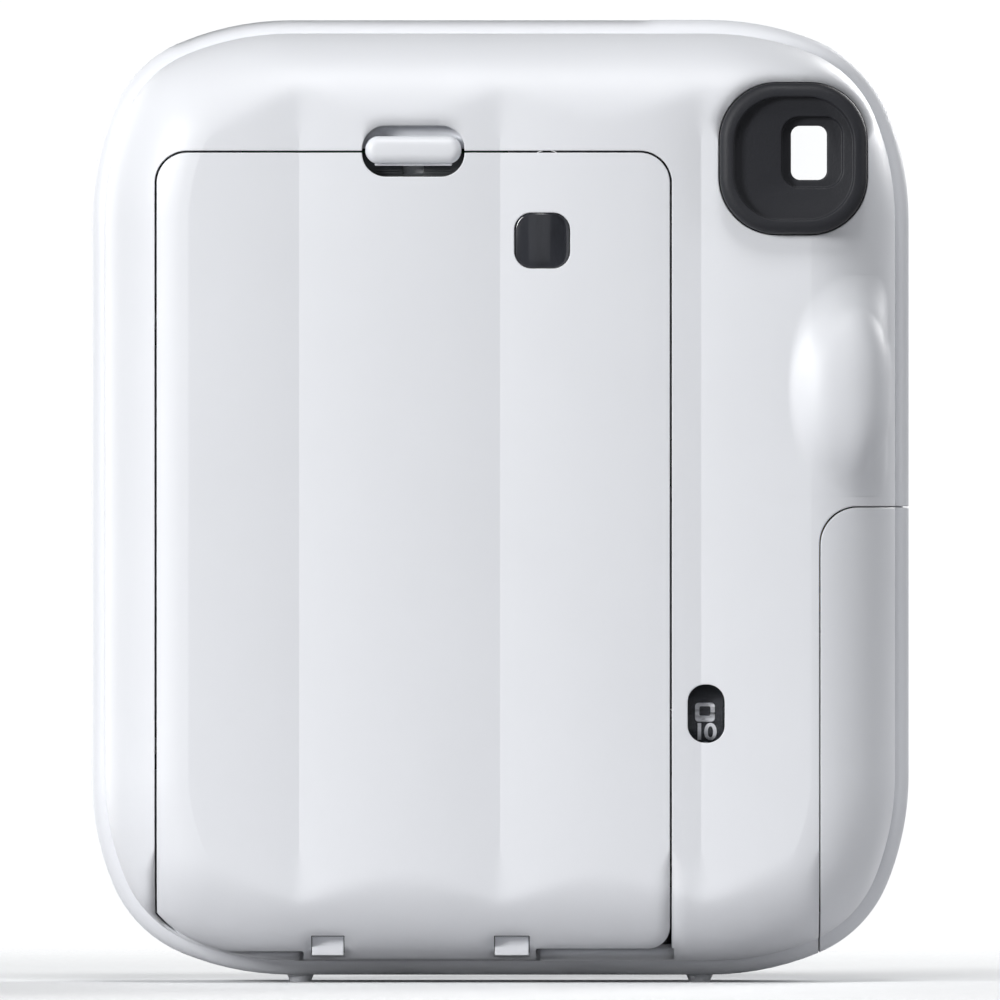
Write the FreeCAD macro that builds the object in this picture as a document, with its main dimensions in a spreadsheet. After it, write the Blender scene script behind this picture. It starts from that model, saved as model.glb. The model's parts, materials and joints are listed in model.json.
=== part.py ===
"""Instant camera, built as separate pieces: two casing halves, film door, battery door, viewfinder,
lens barrel, flash, film feed and their fasteners.

Frame: millimetres, origin under the middle of the camera on the plane its feet stand on.
+X is to the right for someone behind the camera, +Y is the way the lens looks, +Z is up.
"""

import FreeCAD
import Part
import Sketcher
import math
import os

from FreeCAD import Placement, Rotation, Vector

doc = FreeCAD.newDocument("InstantCamera")
sheet = doc.addObject("Spreadsheet::Sheet", "dims")

# ---------------------------------------------------------------- driving dimensions
DIMENSIONS = {
    # casing
    "body_width": 104.0,
    "foot_height": 0.9,
    "body_top": 122.4,
    "corner_reach": 25.4,
    "corner_tight": 16.2,
    "back_crest": -31.2,
    "seam_plane": -16.0,
    "front_crest": 14.4,
    "rear_inset": 1.8,
    "pinch_round": 2.3,
    "edge_round": 12.0,
    "wall": 2.0,
    "pillow_pitch": 25.5,
    "pillow_rise": 0.9,
    "overall_half_depth": 33.3,
    # film door
    "door_left": -43.8,
    "door_right": 21.8,
    "door_top": 105.6,
    "door_gap": 0.25,
    "door_hinge_y": -23.0,
    "door_hinge_z": 5.3,
    "tab_left": -25.2,
    "tab_right": 4.8,
    "hinge_pin_radius": 0.75,
    # battery door
    "battery_door_edge": 40.5,
    "battery_door_top": 60.5,
    "battery_door_front": 6.0,
    # lens
    "lens_x": -11.0,
    "lens_z": 52.0,
    "collar_radius": 30.5,
    "ring_radius": 29.0,
    "tube_radius": 24.0,
    "glass_radius": 8.5,
    # viewfinder
    "finder_x": 37.2,
    "finder_z": 104.6,
    "aperture_x": 39.2,
    "aperture_z": 105.3,
    # film path
    "film_plane": -10.6,
    "roller_z": 101.5,
    "roller_radius": 3.2,
    "roller_pitch": 6.5,
    "chamber_left": -42.0,
    "chamber_right": 20.0,
    "gear_module": 0.5,
    # cells
    "cell_radius": 7.2,
    "cell_length": 50.4,
    "cell_x": 36.2,
    "cell_bottom": 11.6,
    # controls
    "shutter_x": 36.6,
    "shutter_z": 71.0,
    "shutter_radius": 7.4,
    "latch_z": 105.55,
    "counter_x": 26.15,
    "counter_z": 34.2,
    "counter_drum_radius": 5.2,
}
for row, (alias, value) in enumerate(DIMENSIONS.items(), 1):
    sheet.set(f"A{row}", alias)
    sheet.set(f"B{row}", str(value))
    sheet.setAlias(f"B{row}", alias)
doc.recompute()


def dim(alias):
    """A driving dimension, read from the sheet."""
    return float(sheet.get(alias))


BACK, SEAM, FRONT = dim("back_crest"), dim("seam_plane"), dim("front_crest")
WALL, GAP = dim("wall"), dim("door_gap")
HALF_WIDTH = dim("body_width") / 2
BOTTOM, TOP = dim("foot_height"), dim("body_top")
LENS_X, LENS_Z = dim("lens_x"), dim("lens_z")
CORNER_TURN = math.radians(22.5)
Y_AXIS, X_AXIS, Z_AXIS = Vector(0, 1, 0), Vector(1, 0, 0), Vector(0, 0, 1)

sub_parts = []


# ---------------------------------------------------------------- helpers
def keep(obj, label):
    """Marks an object of the document as a sub-part that is written to a file."""
    obj.Label = label
    sub_parts.append(obj)
    return obj


def feature(label, shape):
    """A sub-part whose shape is worked out with Part's own functions."""
    obj = doc.addObject("Part::Feature", label)
    obj.Shape = shape
    return keep(obj, label)


def bound(kind, name, at=None, turn=None, **sizes):
    """A Part primitive with its sizes and place bound to expressions over the sheet."""
    obj = doc.addObject(kind, name)
    if turn:
        obj.Placement = Placement(Vector(), Rotation(*turn))
    for prop, expression in sizes.items():
        obj.setExpression(prop, str(expression))
    for axis, expression in zip("xyz", at or ()):
        obj.setExpression(f"Placement.Base.{axis}", str(expression))
    return obj


TURNS = {"X": (Y_AXIS, 90), "Y": (X_AXIS, -90), "Z": (Z_AXIS, 0)}


def rod(name, axis, radius, length, at):
    """A bound cylinder that starts at a point and runs along +X, +Y or +Z."""
    return bound("Part::Cylinder", name, at, TURNS[axis], Radius=radius, Height=length)


def brick(name, size, at):
    """A bound box from its size and its lowest corner."""
    return bound("Part::Box", name, at, None, Length=size[0], Width=size[1], Height=size[2])


def cut(name, base, tool):
    """A bound boolean: base without tool."""
    obj = doc.addObject("Part::Cut", name)
    obj.Base, obj.Tool = base, tool
    return obj


def fuse(name, *parts):
    """A bound boolean: all the parts as one."""
    obj = doc.addObject("Part::MultiFuse", name)
    obj.Shapes = list(parts)
    return obj


def together(name, *parts):
    """Separate solids kept in one object."""
    obj = doc.addObject("Part::Compound", name)
    obj.Links = list(parts)
    return obj


def tube(name, axis, outer, inner, length, at):
    """A bound tube along an axis."""
    return cut(
        name,
        rod(name + "_outside", axis, outer, length, at),
        rod(name + "_inside", axis, inner, length, at),
    )


def box(x0, x1, y0, y1, z0, z1):
    """A plain box between two corners."""
    return Part.makeBox(x1 - x0, y1 - y0, z1 - z0, Vector(x0, y0, z0))


def cylinder(radius, start, length, axis=Y_AXIS):
    return Part.makeCylinder(radius, length, Vector(*start), axis)


def rounded(cx, cz, width, height, radius, y0, y1):
    """A block with rounded corners seen along Y, centred on (cx, cz)."""
    block = box(cx - width / 2, cx + width / 2, y0, y1, cz - height / 2, cz + height / 2)
    edges = [e for e in block.Edges if abs(e.tangentAt(e.FirstParameter).y) > 0.9]
    return block.makeFillet(radius, edges)


def outline(inset, y):
    """The casing's outline at a depth y: a rectangle whose corners run wide, tight, wide."""
    tight, reach = dim("corner_tight"), dim("corner_reach")
    sin_a, cos_a = math.sin(CORNER_TURN), math.cos(CORNER_TURN)
    wide = (reach - tight * (cos_a - sin_a)) / (1 - cos_a + sin_a)
    middle = reach - (wide - tight) * sin_a
    edges, ends = [], []
    for sx, sz in ((1, 1), (1, -1), (-1, -1), (-1, 1)):
        corner_x, corner_z = sx * HALF_WIDTH, TOP if sz > 0 else BOTTOM

        def on_arc(centre, radius, angle):
            x = corner_x - sx * centre[0] + sx * (radius - inset) * math.sin(angle)
            z = corner_z - sz * centre[1] + sz * (radius - inset) * math.cos(angle)
            return Vector(x, y, z)

        quarter, turn = math.pi / 2, CORNER_TURN
        arcs = [
            ((reach, wide), wide, 0, turn),
            ((middle, middle), tight, turn, quarter - turn),
            ((wide, reach), wide, quarter - turn, quarter),
        ]
        for centre, radius, start, end in arcs:
            through = [on_arc(centre, radius, t) for t in (start, (start + end) / 2, end)]
            edges.append(Part.Arc(*through).toShape())
        first, last = on_arc(*arcs[0][:2], 0), on_arc(*arcs[2][:2], quarter)
        ends.append((first, last) if sx * sz > 0 else (last, first))
    for i in range(4):
        edges.append(Part.LineSegment(ends[i][1], ends[(i + 1) % 4][0]).toShape())
    return Part.Wire(Part.__sortEdges__(edges))


def slab(inset, y0, y1, rear_round=0, front_round=0):
    """The casing's outline as a block from y0 to y1, with rounded rear and front edges."""
    block = Part.Face(outline(inset, y0)).extrude(Vector(0, y1 - y0, 0))
    for y, radius in ((y0, rear_round), (y1, front_round)):
        if radius:
            edges = [e for e in block.Edges if all(abs(v.Y - y) < 1e-6 for v in e.Vertexes)]
            block = block.makeFillet(radius, edges)
    return block


def pillows(crest, toward, depth):
    """A prism whose face has four upright cushions with creases between them."""
    pitch, rise = dim("pillow_pitch"), dim("pillow_rise")
    edges = []
    for i in range(-2, 2):
        a, b = i * pitch, (i + 1) * pitch
        valley = crest - toward * rise
        edges.append(
            Part.Arc(
                Vector(a, valley, 0), Vector((a + b) / 2, crest, 0), Vector(b, valley, 0)
            ).toShape()
        )
    far = crest - toward * depth
    left = Vector(-2 * pitch, crest - toward * rise, 0)
    right = Vector(2 * pitch, crest - toward * rise, 0)
    wide_left, wide_right = Vector(-2 * pitch - 6, left.y, 0), Vector(2 * pitch + 6, left.y, 0)
    low_left, low_right = Vector(wide_left.x, far, 0), Vector(wide_right.x, far, 0)
    for a, b in ((right, wide_right), (wide_right, low_right), (low_right, low_left),
                 (low_left, wide_left), (wide_left, left)):
        edges.append(Part.LineSegment(a, b).toShape())
    face = Part.Face(Part.Wire(Part.__sortEdges__(edges)))
    return face.extrude(Vector(0, 0, TOP + 10))


# ---------------------------------------------------------------- casing
DOOR_CORNER, DOOR_FOOT_CORNER = 4.1, 3.0
DOOR_LEFT, DOOR_RIGHT, DOOR_TOP = dim("door_left"), dim("door_right"), dim("door_top")
TAB_LEFT, TAB_RIGHT = dim("tab_left"), dim("tab_right")
HINGE_Y, HINGE_Z, PIN_R = dim("door_hinge_y"), dim("door_hinge_z"), dim("hinge_pin_radius")
DOOR_FOOT_RIGHT, DOOR_FOOT_LEFT, DOOR_SIDE_FOOT, TAB_FOOT = 4.1, 3.75, 8.8, 1.5
DOOR_DEPTH_LIMIT = -20.6
HOLLOW_BACK = -28.6
EARS = ((-23.95, -19.75), (-0.75, 3.75))


def door_prism(shrink, y0, y1):
    """The film door's outline as a prism along Y, drawn in by shrink all round."""
    def p(x, z):
        return Vector(x, y0, z)

    c, f, q = DOOR_CORNER, DOOR_FOOT_CORNER, math.sqrt(0.5)
    top_left_mid = p(DOOR_LEFT + c * (1 - q), DOOR_TOP - c * (1 - q))
    top_right_mid = p(DOOR_RIGHT - c * (1 - q), DOOR_TOP - c * (1 - q))
    foot_mid = p(DOOR_RIGHT - f * (1 - q), DOOR_FOOT_RIGHT + f * (1 - q))
    points = [
        ("arc", p(DOOR_LEFT, DOOR_TOP - c), top_left_mid, p(DOOR_LEFT + c, DOOR_TOP)),
        ("line", p(DOOR_LEFT + c, DOOR_TOP), p(DOOR_RIGHT - c, DOOR_TOP)),
        ("arc", p(DOOR_RIGHT - c, DOOR_TOP), top_right_mid, p(DOOR_RIGHT, DOOR_TOP - c)),
        ("line", p(DOOR_RIGHT, DOOR_TOP - c), p(DOOR_RIGHT, DOOR_FOOT_RIGHT + f)),
        ("arc", p(DOOR_RIGHT, DOOR_FOOT_RIGHT + f), foot_mid, p(DOOR_RIGHT - f, DOOR_FOOT_RIGHT)),
        ("line", p(DOOR_RIGHT - f, DOOR_FOOT_RIGHT), p(TAB_RIGHT, DOOR_FOOT_RIGHT)),
        ("line", p(TAB_RIGHT, DOOR_FOOT_RIGHT), p(TAB_RIGHT, TAB_FOOT)),
        ("line", p(TAB_RIGHT, TAB_FOOT), p(TAB_LEFT, TAB_FOOT)),
        ("line", p(TAB_LEFT, TAB_FOOT), p(TAB_LEFT, DOOR_FOOT_LEFT)),
        ("line", p(TAB_LEFT, DOOR_FOOT_LEFT), p(-32.0, DOOR_FOOT_LEFT)),
        ("arc", p(-32.0, DOOR_FOOT_LEFT), p(-39.4, 5.3), p(DOOR_LEFT, DOOR_SIDE_FOOT)),
        ("line", p(DOOR_LEFT, DOOR_SIDE_FOOT), p(DOOR_LEFT, DOOR_TOP - c)),
    ]
    edges = [
        Part.Arc(*q[1:]).toShape() if q[0] == "arc" else Part.LineSegment(*q[1:]).toShape()
        for q in points
    ]
    wire = Part.Wire(Part.__sortEdges__(edges))
    if shrink:
        wire = wire.makeOffset2D(-shrink)
    return Part.Face(wire).extrude(Vector(0, y1 - y0, 0))


def battery_prism(shrink):
    """The block of casing that the battery door takes: back, side and bottom corner."""
    x0, z1 = dim("battery_door_edge") + shrink, dim("battery_door_top") - shrink
    y1 = dim("battery_door_front") - shrink
    block = box(x0, 60, -40, y1, -5, z1)
    edges = [
        e
        for e in block.Edges
        if all(abs(v.X - x0) < 1e-6 and abs(v.Z - z1) < 1e-6 for v in e.Vertexes)
    ]
    return block.makeFillet(4.8, edges)


REAR_INSET = dim("rear_inset")
PROUD = 0.06
rear_block = slab(REAR_INSET, BACK - PROUD, SEAM, rear_round=dim("edge_round"))
rear_solid = rear_block.common(pillows(BACK, -1, 40))
rear_hollow = slab(REAR_INSET + WALL, HOLLOW_BACK, SEAM, rear_round=10.0)
rear_skin = rear_solid.cut(rear_hollow)

front_block = slab(0, SEAM, FRONT + PROUD, dim("pinch_round"), dim("edge_round"))
front_solid = front_block.common(pillows(FRONT, 1, 60))
front_hollow = slab(REAR_INSET + WALL, SEAM, SEAM + 5, 0, 0).fuse(
    slab(WALL + 0.4, SEAM + 4, FRONT - WALL - 0.9, 0, 9.6)
)
front_skin = front_solid.cut(front_hollow)

# thumb rest: a long mound on the grip side of the back, a slice of a fat ring
THUMB_X, THUMB_Z, THUMB_CREST = 42.5, 75.3, -33.1
THUMB_RING, THUMB_ROUND = 18.0, 6.6
thumb = Part.makeTorus(
    THUMB_RING, THUMB_ROUND, Vector(THUMB_X, THUMB_CREST + THUMB_RING + THUMB_ROUND, THUMB_Z), X_AXIS
)
thumb = thumb.common(box(30, 52, -40, HOLLOW_BACK, 55, 96))
rear_skin = rear_skin.fuse(thumb.cut(rear_hollow)).removeSplitter()
LATCH_Z = dim("latch_z")
latch_pocket = rounded(LENS_X, LATCH_Z, 13.0, 6.5, 3.0, -40, HOLLOW_BACK)


def hinge_cylinder(radius, x0, x1):
    return cylinder(radius, (x0, HINGE_Y, HINGE_Z), x1 - x0, X_AXIS)


def swing_relief(shell):
    """Clears the lower right corner of the door opening, where the door dips as it swings."""
    corner = door_prism(0, -29.5, -24.0).common(box(18.0, DOOR_RIGHT, -30.0, -23.9, 3.0, 8.5))
    for angle in (8, 16, 24, 32, 40, 48, 56, 64):
        turned = corner.copy()
        turned.rotate(Vector(0, HINGE_Y, HINGE_Z), X_AXIS, angle)
        shell = shell.cut(turned)
    return shell


def make_rear_cover():
    """Back shell: four cushions, door opening, eyepiece hole, counter hole, thumb rest."""
    shell = rear_skin
    pocket_floor = box(LENS_X - 8.5, LENS_X + 8.5, HOLLOW_BACK - 0.3, -27.0, DOOR_TOP + 0.3, 111.0)
    shell = shell.cut(rounded(LENS_X, LATCH_Z, 13.0, 6.5, 3.0, -40, -27.5)).fuse(
        pocket_floor.cut(latch_pocket)
    )
    shell = shell.cut(door_prism(0, -40, DOOR_DEPTH_LIMIT))
    shell = shell.cut(hinge_cylinder(2.55, DOOR_LEFT - 0.3, DOOR_RIGHT + 0.3))
    shell = shell.cut(hinge_cylinder(4.05, TAB_LEFT - 0.3, TAB_RIGHT + 0.3))
    shell = swing_relief(shell)
    shell = shell.cut(battery_prism(0))
    shell = shell.cut(
        rounded(dim("finder_x"), dim("finder_z"), 19.0, 19.5, 7.4, -40, -20)
    )
    shell = shell.cut(rounded(dim("counter_x"), dim("counter_z"), 4.7, 7.4, 2.2, -40, -20))
    return feature("rear_cover", shell.removeSplitter())


def make_film_door():
    """Film door: the back's skin inside the door outline, with its hinge barrel and windows."""
    panel = rear_solid.common(door_prism(GAP, -40, DOOR_DEPTH_LIMIT - 0.2)).cut(rear_hollow)
    barrel = hinge_cylinder(1.9, TAB_LEFT + 0.3, TAB_RIGHT - 0.3)
    panel = panel.fuse(barrel)
    for x0, x1 in EARS:
        panel = panel.cut(hinge_cylinder(1.85, x0 - 0.12, x1 + 0.12))
        panel = panel.cut(box(x0 - 0.12, x1 + 0.12, HINGE_Y - 0.2, -18, 3.3, 9.0))
        panel = panel.cut(box(x0, x1, -40, HINGE_Y, 3.4, 6.0))
    panel = panel.cut(hinge_cylinder(PIN_R, TAB_LEFT, TAB_RIGHT))
    panel = panel.cut(latch_pocket)
    panel = panel.cut(rounded(WINDOW_X, WINDOW_Z, 7.1, 7.1, 2.2, -40, -20))
    return feature("film_door", panel.removeSplitter())


WINDOW_X, WINDOW_Z = 5.35, 94.2
FINDER_FRONT = (dim("aperture_x"), dim("aperture_z"), 13.0, 12.0, 4.0)
SLOT_LEFT, SLOT_RIGHT, SLOT_HALF = -40.0, 18.0, 2.6
FILM_PLANE = dim("film_plane")
FLASH_X, FLASH_Z, FLASH_W, FLASH_H = -19.0, 103.5, 27.0, 14.0
SENSOR_X, SENSOR_Z, SENSOR_R = 6.0, 103.5, 2.6
STRAP_Z, STRAP_Y, STRAP_H, STRAP_D = 80.8, -4.0, 9.0, 6.0


def strap_pocket(side):
    """The hollow behind each strap bar."""
    x0, x1 = sorted((side * (HALF_WIDTH - 4.2), side * (HALF_WIDTH + 2)))
    block = box(x0, x1, STRAP_Y - STRAP_D / 2, STRAP_Y + STRAP_D / 2, STRAP_Z - STRAP_H / 2,
                STRAP_Z + STRAP_H / 2)
    return block


def make_front_cover():
    """Front shell: cushioned face with the lens, flash, finder, sensor and shutter holes."""
    shell = front_skin
    for side in (-1, 1):
        pocket = strap_pocket(side)
        x0, x1 = sorted((side * (HALF_WIDTH - 5.4), side * (HALF_WIDTH - 1)))
        cup = box(x0, x1, STRAP_Y - STRAP_D / 2 - 1.2, STRAP_Y + STRAP_D / 2 + 1.2,
                  STRAP_Z - STRAP_H / 2 - 1.2, STRAP_Z + STRAP_H / 2 + 1.2)
        shell = shell.fuse(cup).cut(pocket)
        shell = shell.cut(cylinder(0.9, (side * (HALF_WIDTH - 1.7), STRAP_Y, STRAP_Z - 5.4), 10.8, Z_AXIS))
    shell = shell.cut(battery_prism(0))
    shell = shell.cut(cylinder(dim("collar_radius"), (LENS_X, 4, LENS_Z), 20))
    shell = shell.cut(rounded(FLASH_X, FLASH_Z, FLASH_W, FLASH_H, 4.5, 4, 20))
    shell = shell.cut(rounded(*FINDER_FRONT, 4, 20))
    shell = shell.cut(cylinder(SENSOR_R, (SENSOR_X, 4, SENSOR_Z), 16))
    button_at = (dim("shutter_x"), 10.0, dim("shutter_z"))
    sleeve = cylinder(dim("shutter_radius") + 1.5, button_at, 3.0).common(front_solid)
    shell = shell.fuse(sleeve)
    shell = shell.cut(cylinder(dim("shutter_radius") + 0.3, button_at, 10.0))
    shell = shell.cut(
        box(SLOT_LEFT - 1, SLOT_RIGHT + 1, FILM_PLANE - SLOT_HALF - 1,
            FILM_PLANE + SLOT_HALF + 1, 110, 130)
    )
    return feature("front_cover", shell.removeSplitter())


def make_battery_door():
    """Battery door: takes the back, the side and the bottom corner of both casing halves."""
    prism = battery_prism(GAP * 0.6)
    rear_part = rear_solid.common(prism).cut(rear_hollow)
    front_part = front_solid.common(prism).cut(front_hollow)
    shape = rear_part.fuse(front_part)
    return feature("battery_door", shape.removeSplitter())


make_rear_cover()
make_film_door()
front_cover = make_front_cover()
make_battery_door()


# ---------------------------------------------------------------- door fittings
def make_door_fittings():
    """What rides on the film door: hinge pin, light seal plate, springs, window and latch."""
    keep(
        rod("hinge_pin_rod", "X", "dims.hinge_pin_radius", "dims.tab_right - dims.tab_left - 0.6",
            ("dims.tab_left + 0.3", "dims.door_hinge_y", "dims.door_hinge_z")),
        "film_door_hinge_pin",
    )
    plate = box(-41.2, 19.2, HOLLOW_BACK, HOLLOW_BACK + 0.8, 11.0, 99.6)
    plate = plate.cut(rounded(WINDOW_X, WINDOW_Z, 7.1, 7.1, 2.2, -40, -20))
    for z in (24.0, 46.0, 68.0):
        plate = plate.fuse(box(-30.0, 8.0, HOLLOW_BACK + 0.8, HOLLOW_BACK + 1.2, z, z + 1.2))
    feature("door_liner", plate.common(rear_hollow).removeSplitter())
    leaves = []
    for x in (-27.0, 1.0):
        arc = Part.Arc(Vector(x, -27.2, 34.0), Vector(x, -26.0, 47.0), Vector(x, -27.2, 60.0)).toShape()
        back = Part.Arc(Vector(x, -27.4, 34.0), Vector(x, -26.25, 47.0), Vector(x, -27.4, 60.0)).toShape()
        ends = [Part.LineSegment(Vector(x, -27.2, z), Vector(x, -27.4, z)).toShape() for z in (34.0, 60.0)]
        face = Part.Face(Part.Wire(Part.__sortEdges__([arc, back, *ends])))
        leaves.append(face.extrude(Vector(8.0, 0, 0)))
    feature("film_pressure_springs", Part.makeCompound(leaves))
    pane = rounded(WINDOW_X, WINDOW_Z, 7.0, 7.0, 2.15, -30.6, HOLLOW_BACK + 0.8)
    feature("film_window", pane)

    bed = box(LENS_X - 8.0, LENS_X + 8.0, HOLLOW_BACK, HOLLOW_BACK + 0.9, 100.3, DOOR_TOP - 0.35)
    bed = bed.cut(box(LENS_X - 2.4, LENS_X + 2.4, -30, -26, 101.5, 104.95))
    for z in (102.65, 103.2):
        bed = bed.fuse(box(LENS_X - 4.4, LENS_X - 2.8, HOLLOW_BACK - 0.25, HOLLOW_BACK, z, z + 0.3))
        bed = bed.fuse(box(LENS_X + 2.8, LENS_X + 4.4, HOLLOW_BACK - 0.25, HOLLOW_BACK, z, z + 0.3))
    feature("latch_bed", bed.removeSplitter())
    bar = rounded(LENS_X, LATCH_Z, 12.2, 4.1, 2.0, -31.7, HOLLOW_BACK - 0.4)
    front_edges = [e for e in bar.Edges if all(v.Y < -31.6 for v in e.Vertexes)]
    bar = bar.makeFillet(1.0, front_edges)
    stem = box(LENS_X - 2.0, LENS_X + 2.0, HOLLOW_BACK - 0.5, -27.0, 103.5, 104.7)
    keeper = box(LENS_X - 4.0, LENS_X + 4.0, -27.1, -26.2, 102.6, 105.2)
    feature("latch_slider", bar.fuse([stem, keeper]).removeSplitter())
    spring = box(LENS_X + 4.1, LENS_X + 6.5, -27.4, -26.9, 101.0, 104.0)
    feature("latch_spring", spring)


make_door_fittings()


# ---------------------------------------------------------------- film chamber and feed
FRAME_BACK, FRAME_FRONT = -27.2, FILM_PLANE
CH_LEFT, CH_RIGHT = dim("chamber_left"), dim("chamber_right")
CH_FLOOR, CH_TOP = 9.8, 97.0
ROLLER_Z, PITCH = dim("roller_z"), dim("roller_pitch")
FRONT_ROLLER_Y = FILM_PLANE + PITCH / 2
REAR_ROLLER_Y = FILM_PLANE - PITCH / 2
SHAFT_R, BEARING_R = 1.2, 1.25


def make_chamber_frame():
    """The black frame that holds the film pack, with the picture gate, hinge ears and roller ends."""
    t = 1.4
    frame = box(CH_LEFT - t, CH_RIGHT + t, FRAME_BACK, FRAME_FRONT + t, CH_FLOOR - t, CH_TOP)
    frame = frame.cut(box(CH_LEFT, CH_RIGHT, -40, FRAME_FRONT, CH_FLOOR, CH_TOP + 5))
    gate = rounded(LENS_X, 46.0, 46.0, 62.0, 1.5, FRAME_FRONT - 1, FRAME_FRONT + 4)
    frame = frame.cut(gate)
    for x0 in (CH_LEFT - t, CH_RIGHT):
        frame = frame.fuse(box(x0, x0 + t, -19.0, -2.8, CH_TOP - 3, ROLLER_Z + 4.6))
        for y in (FRONT_ROLLER_Y, REAR_ROLLER_Y):
            frame = frame.cut(cylinder(BEARING_R, (x0 - 1, y, ROLLER_Z), t + 2, X_AXIS))
    frame = frame.common(slab(REAR_INSET + WALL + 0.3, HOLLOW_BACK + 0.4, FRONT, 9.7, 0))
    for x0, x1 in EARS:
        ear = cylinder(1.5, (x0, HINGE_Y, HINGE_Z), x1 - x0, X_AXIS)
        web = box(x0, x1, HINGE_Y, HINGE_Y + 1.1, HINGE_Z, CH_FLOOR - t + 0.2)
        frame = frame.fuse(ear.fuse(web))
        frame = frame.cut(cylinder(PIN_R + 0.05, (x0 - 1, HINGE_Y, HINGE_Z), x1 - x0 + 2, X_AXIS))
    for x0, x1, z in LUGS:
        frame = frame.fuse(box(x0, x1, FRAME_FRONT - 2, FRAME_FRONT + t, z - 3, z + 3))
        frame = frame.cut(cylinder(1.05, ((x0 + x1) / 2, -20, z), 20))
    return feature("film_chamber_frame", frame.removeSplitter())


LUGS = ((-47.6, -43.3, 30.0), (-47.6, -43.3, 84.0), (21.3, 26.0, 15.0), (21.3, 26.0, 66.0))
make_chamber_frame()


def make_screws():
    """Four pan-head screws and the posts of the front shell that they hold the frame to."""
    screws, posts = [], []
    for x0, x1, z in LUGS:
        x = (x0 + x1) / 2
        shank = cylinder(0.98, (x, FRAME_FRONT + 1.4 - 3.4, z), 9.4)
        head = cylinder(1.9, (x, FRAME_FRONT - 3.3, z), 1.3)
        slot = box(x - 1.2, x + 1.2, FRAME_FRONT - 3.4, FRAME_FRONT - 2.7, z - 0.2, z + 0.2)
        cross = box(x - 0.2, x + 0.2, FRAME_FRONT - 3.4, FRAME_FRONT - 2.7, z - 1.2, z + 1.2)
        screws.append(shank.fuse(head).cut(slot).cut(cross).removeSplitter())
        post = cylinder(2.1, (x, FRAME_FRONT + 1.4, z), FRONT - 3.6 - FRAME_FRONT)
        posts.append(post.cut(cylinder(1.0, (x, FRAME_FRONT + 1.3, z), 8.2)))
    feature("frame_screws", Part.makeCompound(screws))
    shell = front_cover.Shape
    for post in posts:
        shell = shell.fuse(post.common(front_solid))
    front_cover.Shape = shell.removeSplitter()


make_screws()


def gear(teeth, bore, x0, width, y, z, phase):
    """A straight spur gear along X with slim teeth, centred on (y, z)."""
    m = dim("gear_module")
    pitch_r = m * teeth / 2
    root_r, tip_r = pitch_r - 1.15 * m, pitch_r + 0.8 * m
    step = 2 * math.pi / teeth
    points = []
    for i in range(teeth):
        a = phase + i * step
        for r, w in ((root_r, -0.33), (tip_r, -0.10), (tip_r, 0.10), (root_r, 0.33)):
            points.append(Vector(x0, y + r * math.cos(a + w * step), z + r * math.sin(a + w * step)))
    points.append(points[0])
    blank = Part.Face(Part.makePolygon(points)).extrude(Vector(width, 0, 0))
    return blank.cut(cylinder(bore, (x0 - 1, y, z), width + 2, X_AXIS))


SYNC_TEETH, DRIVE_TEETH, IDLER_TEETH, PINION_TEETH = 13, 22, 24, 12


def make_film_feed():
    """Two rollers geared together, and the train that turns them from the motor."""
    m = dim("gear_module")
    left_end, right_end = CH_LEFT - 4.0, CH_RIGHT + 4.4
    rollers = (
        ("front_roller", FRONT_ROLLER_Y, right_end),
        ("rear_roller", REAR_ROLLER_Y, CH_RIGHT + 1.2),
    )
    for name, y, x1 in rollers:
        body = rod(name + "_barrel", "X", "dims.roller_radius", CH_RIGHT - CH_LEFT - 2,
                   (CH_LEFT + 1, y, "dims.roller_z"))
        shaft = rod(name + "_shaft", "X", SHAFT_R, x1 - left_end, (left_end, y, "dims.roller_z"))
        keep(fuse(name + "_turned", body, shaft), name)
    half_tooth = math.pi / SYNC_TEETH
    feature("sync_gear_front", gear(SYNC_TEETH, SHAFT_R, left_end, 2.2, FRONT_ROLLER_Y, ROLLER_Z, math.pi))
    feature("sync_gear_rear", gear(SYNC_TEETH, SHAFT_R, left_end, 2.2, REAR_ROLLER_Y, ROLLER_Z, half_tooth))
    gear_x = CH_RIGHT + 1.8
    down = -math.pi / 2
    feature("roller_gear", gear(DRIVE_TEETH, SHAFT_R, gear_x, 2.2, FRONT_ROLLER_Y, ROLLER_Z, down))
    idler_z = ROLLER_Z - m * (DRIVE_TEETH + IDLER_TEETH) / 2
    motor_z = idler_z - m * (IDLER_TEETH + PINION_TEETH) / 2
    feature("idler_gear", gear(IDLER_TEETH, 1.05, gear_x, 2.2, FRONT_ROLLER_Y, idler_z,
                               math.pi / 2 + math.pi / IDLER_TEETH))
    pinion_phase = math.pi / 2 + (math.pi / PINION_TEETH if IDLER_TEETH % 2 else 0)
    feature("motor_pinion", gear(PINION_TEETH, 0.75, gear_x, 3.0, FRONT_ROLLER_Y, motor_z, pinion_phase))
    keep(rod("idler_axle_rod", "X", 1.0, 3.0, (CH_RIGHT + 1.4, FRONT_ROLLER_Y, idler_z)), "idler_axle")
    can = rod("motor_can", "X", 6.0, 18.0, (gear_x + 3.6, FRONT_ROLLER_Y, motor_z))
    boss = rod("motor_boss", "X", 2.2, 0.5, (gear_x + 3.15, FRONT_ROLLER_Y, motor_z))
    keep(fuse("motor_body", can, boss), "film_motor")
    keep(rod("motor_shaft_rod", "X", 0.75, 3.1, (gear_x, FRONT_ROLLER_Y, motor_z)), "motor_shaft")
    return idler_z, motor_z


make_film_feed()


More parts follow.
